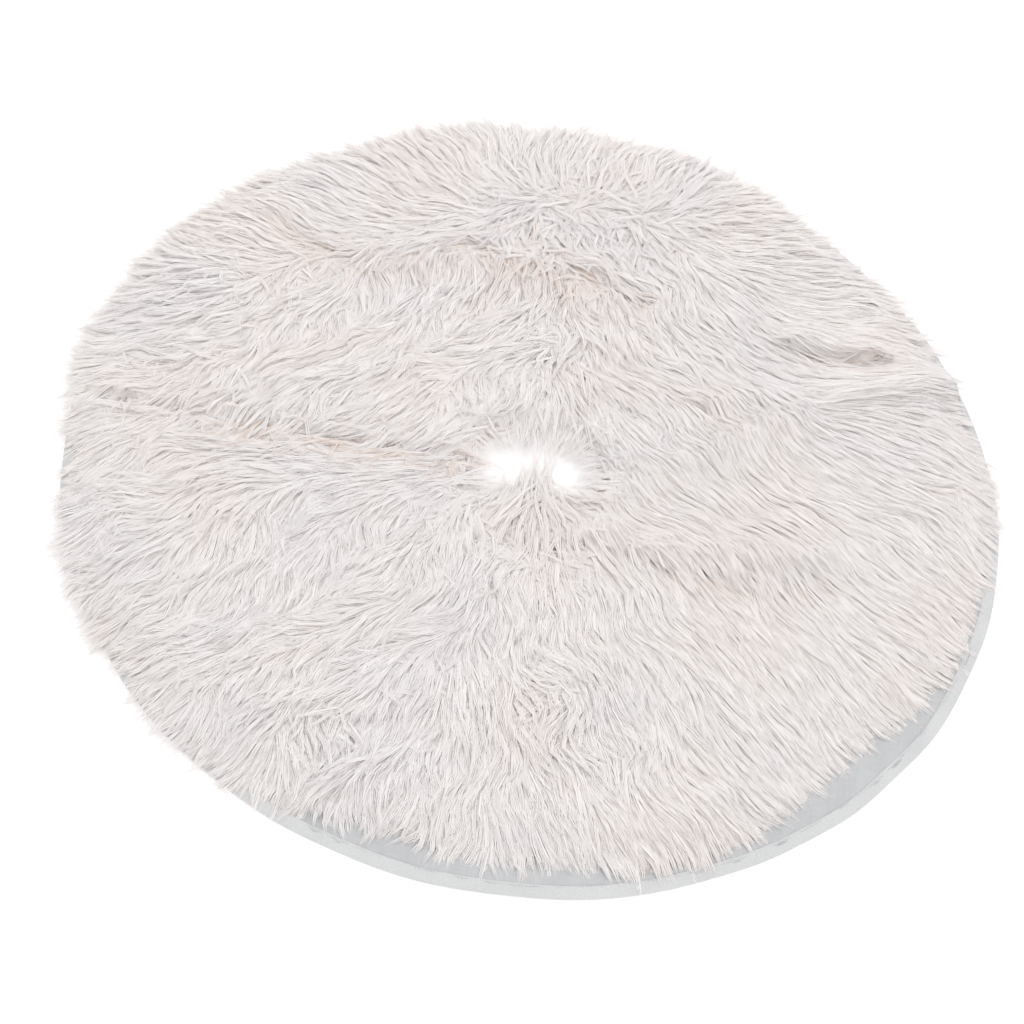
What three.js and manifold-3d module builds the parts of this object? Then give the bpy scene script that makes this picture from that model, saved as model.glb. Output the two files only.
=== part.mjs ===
// A round tree skirt of long-pile fur fabric on a lining, laid flat on a floor. It has a hole for the
// trunk, a slit from the hole to the rim so that it can be passed round a tree, and three touch-fastener
// tabs that join the slit's two sides underneath.
//
// Millimetres, +Z up. The origin is on the floor, at the hole's centre, and the slit runs along -X.
// The cloth beside the slit is two flaps, near (-Y) and far (+Y). Each lifts about a fold line that
// runs outwards from the hole. A tab is sewn under the near flap's slit edge. It is stored folded back
// under that flap, and swings half a turn to grip the loop patch under the far flap.

import * as THREE from "three";
import { mergeVertices } from "three/addons/utils/BufferGeometryUtils.js";
import Module from "manifold-3d";

const wasm = await Module();
wasm.setup();

// Driving dimensions.
const GAP = 0.3; // between pieces that touch
const HEM_RADIUS = 440;
const HEM_WIDTH = 9;
const HOLE_RADIUS = 60;
const HOLE_BINDING_WIDTH = 8;
const BINDING_HEIGHT = 8; // hem and hole binding, from the floor to the top of the folded cloth
const FOLDED_SHOULDER = 1 / 3; // the share of a folded edge's width that each rounded side takes
const LINING_BOTTOM = 4;
const LINING_THICKNESS = 1;
const PILE_TOP = 27; // the pile lies over, so it stands less high than its hairs are long
const PILE_SHOULDER = 9; // how far in from an edge the pile rounds over
const PILE_OVER_HEM = 6;
const PILE_OVER_HOLE = 3;
const SLIT_GAP = 1.6;
const SLIT_BINDING_WIDTH = 8;
const SLIT_BINDING_BOTTOM = 2.9; // clear of the tabs that pass underneath
const FOLD_FROM_SLIT = 45; // degrees, from the slit to each flap's fold line
const FOLD_AXIS_HEIGHT = 8;
const FOLD_BEVEL = 46; // degrees from upright, on each side of a fold line
const TAB_PLACES = { inner: -130, middle: -250, outer: -370 };
const TAB_WIDTH = 26; // along the slit
const TAB_REACH = 27; // from the slit's middle
const TAB_START = 1;
const TAB_THICKNESS = 0.9;
const TAB_AXIS_HEIGHT = 1.25;
const PATCH_WIDTH = 20;
const PATCH_DEPTH = 16;
const PATCH_THICKNESS = 1;
const PATCH_START = 9;
const LOOP_PATCH_THICKNESS = 0.9;

// The pile stops short of the hem on these stretches of the rim, where the lining shows.
// Angles in degrees from +X, and how far the pile's edge draws in, in millimetres. The power sets
// how evenly it is drawn in along a stretch before it returns to the hem.
const DRAWN_IN_POWER = 4;
const BARE_STRETCHES = [
  { angle: -42, halfWidth: 19, drawnIn: 27 },
  { angle: -90, halfWidth: 17, drawnIn: 19 },
];

// Soft folds that the laid cloth keeps, each a ridge along a line.
const RIDGES = [
  { from: [60, -25], to: [150, 45], rise: 12, spread: 20 },
  { from: [150, 45], to: [265, 135], rise: 14, spread: 22 },
  { from: [265, 135], to: [400, 195], rise: 14, spread: 24 },
  { from: [230, 200], to: [300, 200], rise: 11, spread: 18 },
  { from: [115, -80], to: [270, -55], rise: 12, spread: 20 },
  { from: [10, -85], to: [75, -60], rise: 8, spread: 16 },
  { from: [-180, 225], to: [5, 250], rise: 7, spread: 26 },
];

// Mesh fineness.
const ROUND_SEGMENTS = 72;
const PILE_RINGS = 12;
const MERGE_WITHIN = 1e-3; // points closer than this are one point

// Dimensions that follow from the ones above.
const HEM_INNER_RADIUS = HEM_RADIUS - HEM_WIDTH;
const HOLE_BINDING_RADIUS = HOLE_RADIUS + HOLE_BINDING_WIDTH;
const LINING_RADIUS = HEM_INNER_RADIUS - GAP;
const LINING_INNER_RADIUS = HOLE_BINDING_RADIUS + GAP;
const CLOTH_BOTTOM = LINING_BOTTOM + LINING_THICKNESS + GAP;
const OVER_BINDING = BINDING_HEIGHT + GAP;
const PILE_RADIUS = HEM_RADIUS + PILE_OVER_HEM;
const PILE_INNER_RADIUS = HOLE_RADIUS - PILE_OVER_HOLE;
const SLIT_BINDING_INNER = SLIT_GAP / 2;
const SLIT_BINDING_OUTER = SLIT_BINDING_INNER + SLIT_BINDING_WIDTH;
const BEYOND = 600; // past the rim, for cutting shapes
const CUT_TOP = 60; // above the tallest ridge
const CUT_BOTTOM = -10;

const radians = THREE.MathUtils.degToRad;

// Surface finishes.
const pileFinish = new THREE.MeshStandardMaterial({ color: 0xf0ece7, roughness: 0.95, metalness: 0 });
const liningFinish = new THREE.MeshStandardMaterial({ color: 0xe4e6e6, roughness: 0.7, metalness: 0 });
const bindingFinish = new THREE.MeshStandardMaterial({ color: 0xeae9e7, roughness: 0.65, metalness: 0 });
const tabFinish = new THREE.MeshStandardMaterial({ color: 0xe6e2da, roughness: 0.85, metalness: 0 });
const hookFinish = new THREE.MeshStandardMaterial({ color: 0xf2f1ee, roughness: 0.5, metalness: 0 });
const loopFinish = new THREE.MeshStandardMaterial({ color: 0xefeeea, roughness: 0.9, metalness: 0 });

// A closed three.js geometry as a manifold-3d solid.
function solidOf(geometry) {
  const bare = geometry.clone();
  bare.deleteAttribute("normal");
  bare.deleteAttribute("uv");
  const merged = mergeVertices(bare, MERGE_WITHIN);
  const mesh = new wasm.Mesh({
    numProp: 3,
    vertProperties: merged.attributes.position.array,
    triVerts: new Uint32Array(merged.index.array),
  });
  return new wasm.Manifold(mesh);
}

// A manifold-3d solid as a three.js geometry.
function geometryOf(solid) {
  const mesh = solid.getMesh();
  const geometry = new THREE.BufferGeometry();
  geometry.setAttribute("position", new THREE.BufferAttribute(mesh.vertProperties, 3));
  geometry.setIndex(new THREE.BufferAttribute(mesh.triVerts, 1));
  geometry.computeVertexNormals();
  return geometry;
}

// A box from its low corner to its high corner.
function boxSolid(low, high) {
  const size = high.map((value, i) => value - low[i]);
  const geometry = new THREE.BoxGeometry(...size);
  geometry.translate(...high.map((value, i) => (value + low[i]) / 2));
  return solidOf(geometry);
}

// A ring about +Z from the closed section [radius, height].
function ringGeometry(section) {
  const points = section.map(([radius, height]) => new THREE.Vector2(radius, height));
  points.push(points[0].clone());
  const geometry = new THREE.LatheGeometry(points, ROUND_SEGMENTS);
  geometry.rotateX(Math.PI / 2);
  return geometry;
}

// A ring with a square section.
function plainRing(innerRadius, outerRadius, bottom, top) {
  return solidOf(
    ringGeometry([
      [innerRadius, bottom],
      [outerRadius, bottom],
      [outerRadius, top],
      [innerRadius, top],
    ]),
  );
}

// A folded edge: a ring whose section is flat below and rounded over the top.
function foldedEdgeRing(innerRadius, outerRadius) {
  const shoulder = (outerRadius - innerRadius) * FOLDED_SHOULDER;
  return solidOf(
    ringGeometry([
      [innerRadius, 0],
      [outerRadius, 0],
      [outerRadius, BINDING_HEIGHT - shoulder],
      [outerRadius - shoulder, BINDING_HEIGHT],
      [innerRadius + shoulder, BINDING_HEIGHT],
      [innerRadius, BINDING_HEIGHT - shoulder],
    ]),
  );
}

// How far the laid cloth stands up above its flat height at a point.
function ridgeHeight(x, y) {
  let height = 0;
  for (const { from, to, rise, spread } of RIDGES) {
    const along = [to[0] - from[0], to[1] - from[1]];
    const lengthSquared = along[0] ** 2 + along[1] ** 2;
    const share = ((x - from[0]) * along[0] + (y - from[1]) * along[1]) / lengthSquared;
    const nearest = THREE.MathUtils.clamp(share, 0, 1);
    const distance = Math.hypot(x - from[0] - nearest * along[0], y - from[1] - nearest * along[1]);
    height = Math.max(height, rise * Math.exp(-((distance / spread) ** 2)));
  }
  return height;
}

// How far the pile's outer edge draws in at an angle, in radians.
function drawnInAt(angle) {
  let drawnIn = 0;
  for (const stretch of BARE_STRETCHES) {
    const turned = angle - radians(stretch.angle) + Math.PI;
    const off = THREE.MathUtils.euclideanModulo(turned, 2 * Math.PI) - Math.PI;
    drawnIn += stretch.drawnIn * Math.exp(-((off / radians(stretch.halfWidth)) ** DRAWN_IN_POWER));
  }
  return drawnIn;
}

// The fur fabric before it is cut: backing and pile together, rounded at the rim and at the hole.
function furRing() {
  const top = [];
  for (let i = 0; i <= PILE_RINGS; i += 1) {
    const share = i / PILE_RINGS;
    const radius = THREE.MathUtils.lerp(
      PILE_RADIUS - PILE_SHOULDER,
      PILE_INNER_RADIUS + PILE_SHOULDER,
      share,
    );
    top.push([radius, PILE_TOP]);
  }
  const shoulderHeight = (OVER_BINDING + PILE_TOP) / 2;
  const section = [
    [HOLE_BINDING_RADIUS + GAP, CLOTH_BOTTOM],
    [HEM_INNER_RADIUS - GAP, CLOTH_BOTTOM],
    [HEM_INNER_RADIUS - GAP, OVER_BINDING],
    [PILE_RADIUS - PILE_OVER_HEM / 2, OVER_BINDING],
    [PILE_RADIUS, shoulderHeight],
    ...top,
    [PILE_INNER_RADIUS, shoulderHeight],
    [PILE_INNER_RADIUS + PILE_OVER_HOLE / 2, OVER_BINDING],
    [HOLE_BINDING_RADIUS + GAP, OVER_BINDING],
  ];
  const geometry = ringGeometry(section);
  const positions = geometry.attributes.position;
  for (let i = 0; i < positions.count; i += 1) {
    const x = positions.getX(i);
    const y = positions.getY(i);
    const z = positions.getZ(i);
    const radius = Math.hypot(x, y);
    const share = (radius - PILE_INNER_RADIUS) / (PILE_RADIUS - PILE_INNER_RADIUS);
    const newRadius = radius - drawnInAt(Math.atan2(y, x)) * share ** 2;
    const scale = newRadius / radius;
    const lift = z > PILE_TOP - GAP ? ridgeHeight(x * scale, y * scale) : 0;
    positions.setXYZ(i, x * scale, y * scale, z + lift);
  }
  return solidOf(geometry);
}

// A flat-topped wedge about the origin between two angles in degrees.
function wedge(startAngle, endAngle) {
  const shape = new THREE.Shape();
  shape.moveTo(0, 0);
  const middle = (startAngle + endAngle) / 2;
  for (const angle of [startAngle, middle, endAngle]) {
    shape.lineTo(BEYOND * Math.cos(radians(angle)), BEYOND * Math.sin(radians(angle)));
  }
  const depth = CUT_TOP - CUT_BOTTOM;
  const geometry = new THREE.ExtrudeGeometry(shape, { depth, bevelEnabled: false });
  geometry.translate(0, 0, CUT_BOTTOM);
  return solidOf(geometry);
}

// What a fold line takes away: a thin slot below its axis and a V above it, so that the two sides
// meet without pressing when the flap stands upright.
function foldCut(angle) {
  const halfTop = GAP + (CUT_TOP - FOLD_AXIS_HEIGHT) * Math.tan(radians(FOLD_BEVEL));
  const shape = new THREE.Shape();
  shape.moveTo(-GAP, CUT_BOTTOM);
  shape.lineTo(GAP, CUT_BOTTOM);
  shape.lineTo(GAP, FOLD_AXIS_HEIGHT);
  shape.lineTo(halfTop, CUT_TOP);
  shape.lineTo(-halfTop, CUT_TOP);
  shape.lineTo(-GAP, FOLD_AXIS_HEIGHT);
  const geometry = new THREE.ExtrudeGeometry(shape, { depth: BEYOND, bevelEnabled: false });
  const outwards = new THREE.Vector3(Math.cos(radians(angle)), Math.sin(radians(angle)), 0);
  const up = new THREE.Vector3(0, 0, 1);
  const across = new THREE.Vector3().crossVectors(up, outwards);
  geometry.applyMatrix4(new THREE.Matrix4().makeBasis(across, up, outwards));
  return solidOf(geometry);
}

const farFoldAngle = 180 - FOLD_FROM_SLIT;
const nearFoldAngle = 180 + FOLD_FROM_SLIT;
const farWedge = wedge(farFoldAngle, 180);
const nearWedge = wedge(180, nearFoldAngle);
const bothWedges = wedge(farFoldAngle, nearFoldAngle);
const foldCuts = foldCut(farFoldAngle).add(foldCut(nearFoldAngle));

// A slot along the slit, down to its low height and up through everything above it.
function slitSlot(halfWidth, bottom, top) {
  return boxSolid([-BEYOND, -halfWidth, bottom], [0, halfWidth, top]);
}

const skirt = new THREE.Group();

function addMesh(name, geometry, finish) {
  const mesh = new THREE.Mesh(geometry, finish);
  mesh.name = name;
  skirt.add(mesh);
}

// Cuts one ring of the skirt into its main stretch and its two flaps.
function addInThree(name, ring, slot, finish) {
  const opened = ring.subtract(slot).subtract(foldCuts);
  addMesh(`${name}_main`, geometryOf(opened.subtract(bothWedges)), finish);
  addMesh(`${name}_near`, geometryOf(opened.intersect(nearWedge)), finish);
  addMesh(`${name}_far`, geometryOf(opened.intersect(farWedge)), finish);
}

// Fur fabric, stepped over the slit's bindings.
function addFur() {
  const overBindings = slitSlot(SLIT_BINDING_OUTER + GAP, CUT_BOTTOM, OVER_BINDING);
  const slot = slitSlot(SLIT_GAP / 2, CUT_BOTTOM, CUT_TOP).add(overBindings);
  addInThree("fur", furRing(), slot, pileFinish);
}

function addLining() {
  const ring = plainRing(
    LINING_INNER_RADIUS,
    LINING_RADIUS,
    LINING_BOTTOM,
    LINING_BOTTOM + LINING_THICKNESS,
  );
  addInThree("lining", ring, slitSlot(SLIT_BINDING_OUTER + GAP, CUT_BOTTOM, CUT_TOP), liningFinish);
}

function addRoundBindings() {
  const slot = slitSlot(SLIT_GAP / 2, CUT_BOTTOM, CUT_TOP);
  addInThree("hem", foldedEdgeRing(HEM_INNER_RADIUS, HEM_RADIUS), slot, bindingFinish);
  addInThree("hole_binding", foldedEdgeRing(HOLE_RADIUS, HOLE_BINDING_RADIUS), slot, bindingFinish);
}

// The strip that closes the cloth's edge along one side of the slit.
function addSlitBinding(name, side) {
  const edges = [side * SLIT_BINDING_INNER, side * SLIT_BINDING_OUTER];
  const low = [-(HEM_INNER_RADIUS - 2 * GAP), Math.min(...edges), SLIT_BINDING_BOTTOM];
  const high = [-(HOLE_BINDING_RADIUS + GAP), Math.max(...edges), BINDING_HEIGHT];
  addMesh(name, geometryOf(boxSolid(low, high)), bindingFinish);
}

// One closure: the tab and its hook patch as stored under the near flap, and the far flap's loop patch.
function addClosure(name, place) {
  const tabBottom = TAB_AXIS_HEIGHT + GAP / 2;
  const tab = boxSolid(
    [place - TAB_WIDTH / 2, -TAB_REACH, tabBottom],
    [place + TAB_WIDTH / 2, -TAB_START, tabBottom + TAB_THICKNESS],
  );
  const hook = boxSolid(
    [place - PATCH_WIDTH / 2, -PATCH_START - PATCH_DEPTH, tabBottom - GAP - PATCH_THICKNESS],
    [place + PATCH_WIDTH / 2, -PATCH_START, tabBottom - GAP],
  );
  const loop = boxSolid(
    [place - PATCH_WIDTH / 2, PATCH_START, LINING_BOTTOM - GAP - LOOP_PATCH_THICKNESS],
    [place + PATCH_WIDTH / 2, PATCH_START + PATCH_DEPTH, LINING_BOTTOM - GAP],
  );
  addMesh(`tab_${name}`, geometryOf(tab), tabFinish);
  addMesh(`hook_patch_${name}`, geometryOf(hook), hookFinish);
  addMesh(`loop_patch_${name}`, geometryOf(loop), loopFinish);
}

addFur();
addLining();
addRoundBindings();
addSlitBinding("slit_binding_near", -1);
addSlitBinding("slit_binding_far", 1);
for (const [name, place] of Object.entries(TAB_PLACES)) {
  addClosure(name, place);
}

export default skirt;
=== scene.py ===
"""The looks of a round tree skirt of long-pile fur fabric, lined and hemmed, laid on a pale floor.

The skirt's lengths are in millimetres and become metres where a mesh is made. Those of the materials,
camera and lights are in metres. Angles are in degrees where they are written and in radians where
they are used. The skirt lies about the origin, its slit along -X. Cloth that crosses a fold line
belongs to the near (-Y) or far (+Y) side.
"""

import math

import bpy
import numpy as np
from mathutils import Matrix, Vector


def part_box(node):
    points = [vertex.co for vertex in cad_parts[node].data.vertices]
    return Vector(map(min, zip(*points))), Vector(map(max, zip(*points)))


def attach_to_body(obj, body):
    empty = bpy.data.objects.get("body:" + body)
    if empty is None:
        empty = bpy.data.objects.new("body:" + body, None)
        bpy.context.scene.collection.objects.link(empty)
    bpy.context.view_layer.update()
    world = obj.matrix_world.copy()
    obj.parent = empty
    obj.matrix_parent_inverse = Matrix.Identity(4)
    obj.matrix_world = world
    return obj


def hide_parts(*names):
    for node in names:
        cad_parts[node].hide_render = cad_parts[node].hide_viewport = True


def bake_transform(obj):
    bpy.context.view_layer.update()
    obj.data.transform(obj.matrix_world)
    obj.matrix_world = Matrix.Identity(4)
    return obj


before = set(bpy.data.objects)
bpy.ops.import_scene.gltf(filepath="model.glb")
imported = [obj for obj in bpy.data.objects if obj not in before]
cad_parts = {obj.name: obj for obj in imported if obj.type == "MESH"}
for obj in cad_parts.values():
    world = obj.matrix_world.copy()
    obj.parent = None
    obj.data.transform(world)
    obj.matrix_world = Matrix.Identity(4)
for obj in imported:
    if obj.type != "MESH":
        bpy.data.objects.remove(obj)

MM = 0.001
FULL_TURN = 2 * math.pi
UP = np.array([0.0, 0.0, 1.0])

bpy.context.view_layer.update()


def high_mm(node):
    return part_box(node)[1] / MM


def low_mm(node):
    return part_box(node)[0] / MM


def box_mm(node):
    return low_mm(node), high_mm(node)


# ---- Sizes that the frame gives ----

HEM_RADIUS = high_mm("hem_main").x
HEM_TOP = high_mm("hem_main").z
LINING_RADIUS = high_mm("lining_main").x
LINING_BOTTOM = low_mm("lining_main").z
HOLE_BINDING_RADIUS = high_mm("hole_binding_main").x
CLOTH_BOTTOM = low_mm("fur_main").z
SLIT_EDGE = -high_mm("slit_binding_near").y
SLIT_BINDING_EDGE = -low_mm("slit_binding_near").y
SLIT_BINDING_BOTTOM = low_mm("slit_binding_near").z
SLIT_BINDING_TOP = high_mm("slit_binding_near").z
SLIT_BINDING_ENDS = (low_mm("slit_binding_near").x, high_mm("slit_binding_near").x)
TAB_FOLD_HEIGHT = 1.25  # of the line that a tab turns about

# ---- Sizes of the cloth ----

HOLE_RADIUS = 60
LINING_THICKNESS = 0.6
BACKING_THICKNESS = 1.1
CLOTH_TOP = CLOTH_BOTTOM + BACKING_THICKNESS
SIDE_ANGLE = 120  # the near and far sides are the cloth from here to the slit
GRID_STEP = 6
COAT_STEP = 4

# Stretches of the rim where the pile stops short of the hem, and how far its edge draws in.
BARE_STRETCHES = [
    {"angle": -42, "half_width": 19, "drawn_in": 16},
    {"angle": -90, "half_width": 15, "drawn_in": 14},
]

# Soft folds that the laid cloth keeps: (from, to, rise, spread behind, spread in front).
RIDGES = [
    ((60, -25), (150, 45), 14, 20, 15),
    ((150, 45), (265, 135), 17, 24, 17),
    ((265, 135), (400, 195), 18, 26, 18),
    ((232, 200), (300, 202), 14, 24, 6),
    ((155, 108), (209, 128), 10, 20, 5),
    ((115, -80), (270, -55), 16, 28, 6),
    ((10, -82), (75, -60), 12, 22, 5),
    ((-180, 225), (5, 250), 10, 26, 16),
]
CLOTH_SHARE_OF_RIDGE = 0.85  # the pile makes the rest

# Lines where the pile parts and its roots show: (from, to, half width, strength).
PARTINGS = [
    ((-275, 240), (-215, 218), 16, 0.5),
    ((-215, 218), (-92, 260), 16, 0.5),
    ((-92, 260), (9, 249), 18, 0.8),
    ((9, 249), (70, 232), 14, 0.5),
    ((155, 101), (209, 121), 8, 0.4),
    ((232, 193), (300, 196), 9, 0.5),
    ((118, -88), (268, -64), 9, 0.6),
    ((343, 58), (376, 60), 10, 0.35),
    ((-268, -4), (-234, -4), 9, 1.0),
    ((-204, -2), (-132, 0), 7, 0.8),
]

# Lines that the pile lies along: (from, to, half width, strength).
COMBED = [
    ((260, 132), (420, 200), 30, 0.9),
    ((150, 335), (270, 325), 50, 0.6),
    ((-90, -26), (-320, -32), 24, 0.85),
    ((-220, 330), (-320, 285), 40, 0.4),
]

# Whirls in the pile: (centre, reach, strength), turning to the left where the strength is positive.
WHIRLS = [
    ((-314, 71), 30, 1.0),
    ((-159, 303), 30, -0.9),
    ((-144, -296), 32, 1.3),
    ((41, -233), 28, -1.3),
    ((52, -290), 26, 0.9),
    ((-330, -112), 30, -0.9),
    ((-20, -120), 30, 1.0),
    ((30, 165), 34, -0.8),
    ((255, -360), 22, 0.7),
]

# Places where the locks lie this way and that: (centre, reach, amount).
MESSY = [
    ((-20, 280), 90, 0.42),
    ((-330, 150), 60, 0.32),
    ((30, 170), 60, 0.35),
    ((-20, -120), 50, 0.2),
    ((40, -240), 50, 0.6),
    ((-160, -280), 60, 0.6),
    ((-90, -330), 50, 0.5),
    ((-340, -190), 50, 0.55),
    ((-210, -40), 60, 0.35),
    ((-280, -260), 40, 0.45),
    ((120, 210), 60, 0.35),
]

# ---- Sizes of the pile ----

UNDERCOAT_HEIGHT = 11.5
UNDERCOAT_EDGE = 1.2
LOCK_SPACING = 3.7
LOCK_LENGTH = 36
LONG_SHARE = 0.4  # of the locks, that lie long and loose on top
LONG_LENGTH = 56
STRANDS_IN_LOCK = 4
STRAND_PITCH = 0.9
STRAND_FLATNESS = 0.4
LOCK_FAN = np.array([0.8, 1.1, 1.0, 0.5])  # how far a lock's strands stand apart along it
STRAND_STEPS = np.array([0.0, 0.3, 0.66, 1.0])
STRAND_RADII = np.array([0.34, 0.42, 0.35])
PILE_SECTOR = 15
PILE_SEED = 20
PILE_OVERHANG = 32
THIN_CELL = 6
THIN_SHARE = 0.55  # of the usual cover, below which locks are added
FILL_LOCKS = 3
STEEPEST_FALL = 24  # degrees that a lock can hang down by where the cloth under it drops away
LEAST_LENGTH = 14
LEAST_HEIGHT = 1.0
ROOT_DEPTH = 0.8  # how far locks start under the top of the lower pile
LONG_GIRTH = 1.1
OFF_SLIT = 1.5  # how far locks stand from the slit's edge
OFF_HOLE = 2

# How locks differ, in degrees. A lock is unsure where the pile's flow is weak.
SCATTER = {"combed": 3.5, "messy": 15, "unsure": 50, "over the hole": 8}
CURL = {"waves": 26, "combed": 5, "messy": 30}
RISE = (7, 10.5)
RISE_OVER_HOLE = (6, 18)
MORE_RISE = {"on top": 3, "messy": 16, "unsure": 12, "at the back rim": 22, "before the hole": 8}
DROOP = (3, 2)  # mean and deviation
FOLLOWING = 0.85  # of the turns that the flow takes along a lock, how much the lock follows

# The pile's flow, in degrees: how far it spreads to each side and over what width, and its swirls.
SPREAD_RIGHT = (52, 150)
SPREAD_LEFT = (45, 300)
SWIRL, EDDY, TUFT = 15, 13, 13


def smooth(share):
    """0 below 0, 1 above 1, and a smooth step between."""
    t = np.clip(share, 0, 1)
    return t * t * (3 - 2 * t)


def polar(x, y):
    return np.hypot(x, y), np.arctan2(y, x)


def bell(distance, width):
    return np.exp(-((distance / width) ** 2))


def strongest(x, amounts):
    """The largest of some amounts at every point, which is 0 or more."""
    return np.maximum.reduce([np.zeros(np.shape(x)), *amounts])


def off_segment(x, y, start, end):
    """The vector from the nearest point of a segment to each point, and its length."""
    along = np.subtract(end, start)
    share = ((x - start[0]) * along[0] + (y - start[1]) * along[1]) / (along @ along)
    nearest = np.clip(share, 0, 1)
    dx = x - start[0] - nearest * along[0]
    dy = y - start[1] - nearest * along[1]
    return dx, dy, np.hypot(dx, dy)


class Ripple:
    """A smooth random field of about unit size: sine waves that run in seeded directions."""

    def __init__(self, seed, wavelength, count=7):
        rng = np.random.default_rng(seed)
        angles = rng.uniform(0, FULL_TURN, count)
        lengths = wavelength * rng.uniform(0.7, 1.5, count)
        self.waves = np.stack([np.cos(angles), np.sin(angles)]) * FULL_TURN / lengths
        self.phases = rng.uniform(0, FULL_TURN, count)
        self.scale = math.sqrt(2 / count)

    def at(self, x, y):
        total = np.zeros(np.shape(x))
        for kx, ky, phase in zip(*self.waves, self.phases):
            total += np.sin(kx * x + ky * y + phase)
        return total * self.scale


CLOTH_WAVES = Ripple(3, 150)
FLOW_SWIRL = Ripple(5, 210)
FLOW_EDDY = Ripple(8, 85)
TUFT_TURN = Ripple(13, 34)
LOCK_CURL = Ripple(17, 60)
COAT_WAVES = Ripple(27, 26)
RIM_TUFTS = Ripple(37, 28)


# ---- The laid cloth ----


def drawn_in_at(angle):
    """How far the pile's edge draws in from the rim at an angle."""
    total = np.zeros(np.shape(angle))
    for stretch in BARE_STRETCHES:
        off = (np.degrees(angle) - stretch["angle"] + 180) % 360 - 180
        total += stretch["drawn_in"] * np.exp(-((off / stretch["half_width"]) ** 4))
    return total


def ridge_height(x, y):
    height = np.zeros(np.shape(x))
    for start, end, rise, behind, in_front in RIDGES:
        _, dy, distance = off_segment(x, y, start, end)
        spread = np.where(dy > 0, behind, in_front)
        height = np.maximum(height, rise * bell(distance, spread))
    return height


def cloth_rise(x, y):
    """How far the laid cloth stands above lying flat. It is 0 at the rim and at the hole."""
    radius = np.hypot(x, y)
    free = smooth((HEM_RADIUS - 12 - radius) / 50) * smooth((radius - HOLE_BINDING_RADIUS) / 40)
    swell = 1.1 + 0.9 * CLOTH_WAVES.at(x, y)
    return CLOTH_SHARE_OF_RIDGE * ridge_height(x, y) + free * np.maximum(swell, 0)


def backing_step(x, y):
    """How far the fur's backing steps up over the bindings at the slit and at the hole."""
    at_slit = smooth((SLIT_BINDING_EDGE + 7 - np.abs(y)) / 6) * (x < 0)
    at_hole = smooth((HOLE_BINDING_RADIUS + 7 - np.hypot(x, y)) / 6)
    step = HEM_TOP + 0.4 - CLOTH_BOTTOM
    return step * np.maximum(at_slit, at_hole)


def tip_radius(angle):
    """How far out the pile's tips reach at an angle: furthest at the back, least at the front."""
    overhang = 10 + 17 * np.cos(angle - math.radians(125))
    ripple = 5 * np.sin(5 * angle + 1) + 4 * np.sin(11 * angle)
    return HEM_RADIUS + 3 + overhang + ripple - drawn_in_at(angle)


def pile_edge(angle):
    """The radius of the fur fabric's own edge, which its longest locks hang over."""
    return np.minimum(tip_radius(angle) - PILE_OVERHANG, HEM_RADIUS - 6)


def parted(x, y):
    """How far the pile is parted at a point, from 0 to about 1."""
    return strongest(
        x,
        (
            strength * bell(off_segment(x, y, start, end)[2], 0.6 * half_width)
            for start, end, half_width, strength in PARTINGS
        ),
    )


def beside_slit(x, y):
    """1 at the slit and 0 away from it."""
    return smooth((14 - np.abs(y)) / 12) * smooth((-x - HOLE_RADIUS) / 20) * smooth((x + 310) / 50)


def messiness(x, y):
    """How far neighbouring locks differ, from 0 where the pile is combed smooth to 1."""
    return strongest(
        x, (most * bell(np.hypot(x - cx, y - cy), reach) for (cx, cy), reach, most in MESSY)
    )


def from_edges(x, y):
    """How near a point is to an edge of the fur fabric, as 0 at the edge and 1 well inside."""
    radius, angle = polar(x, y)
    at_rim = smooth((pile_edge(angle) - radius) / 20)
    at_hole = smooth((radius - HOLE_RADIUS) / 16)
    at_slit = np.where(x < 0, smooth((np.abs(y) - SLIT_EDGE) / 11), 1)
    return np.minimum(np.minimum(at_rim, at_hole), at_slit)


def undercoat(x, y):
    """The thickness of the dense lower pile, which thins at edges, partings and messy places."""
    thinned = (1 - 0.6 * parted(x, y)) * (1 - 0.25 * messiness(x, y))
    inside = UNDERCOAT_EDGE + (UNDERCOAT_HEIGHT - UNDERCOAT_EDGE) * from_edges(x, y)
    return inside * thinned * (1 + 0.07 * COAT_WAVES.at(x, y))


def backing_top(x, y):
    return CLOTH_TOP + cloth_rise(x, y) + backing_step(x, y)


def ground(x, y):
    """The height that locks grow from, which falls away past the rim and inside the hole."""
    radius, angle = polar(x, y)
    top = backing_top(x, y) + undercoat(x, y)
    past_rim = smooth((radius - pile_edge(angle)) / 34)
    in_hole = smooth((HOLE_RADIUS + 2 - radius) / 40)
    return top * (1 - past_rim) * (1 - 0.7 * in_hole)


# ---- Meshes ----


def points_of(x, y, z):
    return np.stack(np.broadcast_arrays(x, y, z), -1)


def add_object(name, data):
    made = bpy.data.objects.new(name, data)
    bpy.context.scene.collection.objects.link(made)
    return made


def mesh_object(name, points, quads, triangles, material):
    """An object from arrays of points in millimetres and of faces."""
    corners = np.concatenate([quads.ravel(), triangles.ravel()]).astype(np.int32)
    sizes = np.concatenate([np.full(len(quads), 4), np.full(len(triangles), 3)])
    mesh = bpy.data.meshes.new(name)
    mesh.vertices.add(len(points))
    mesh.loops.add(len(corners))
    mesh.polygons.add(len(sizes))
    mesh.vertices.foreach_set("co", (points * MM).astype(np.float32).ravel())
    mesh.loops.foreach_set("vertex_index", corners)
    starts = np.concatenate([[0], np.cumsum(sizes)[:-1]]).astype(np.int32)
    mesh.polygons.foreach_set("loop_start", starts)
    mesh.polygons.foreach_set("use_smooth", np.full(len(sizes), True))
    mesh.update(calc_edges=True)
    mesh.materials.append(material)
    return add_object(name, mesh)


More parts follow.
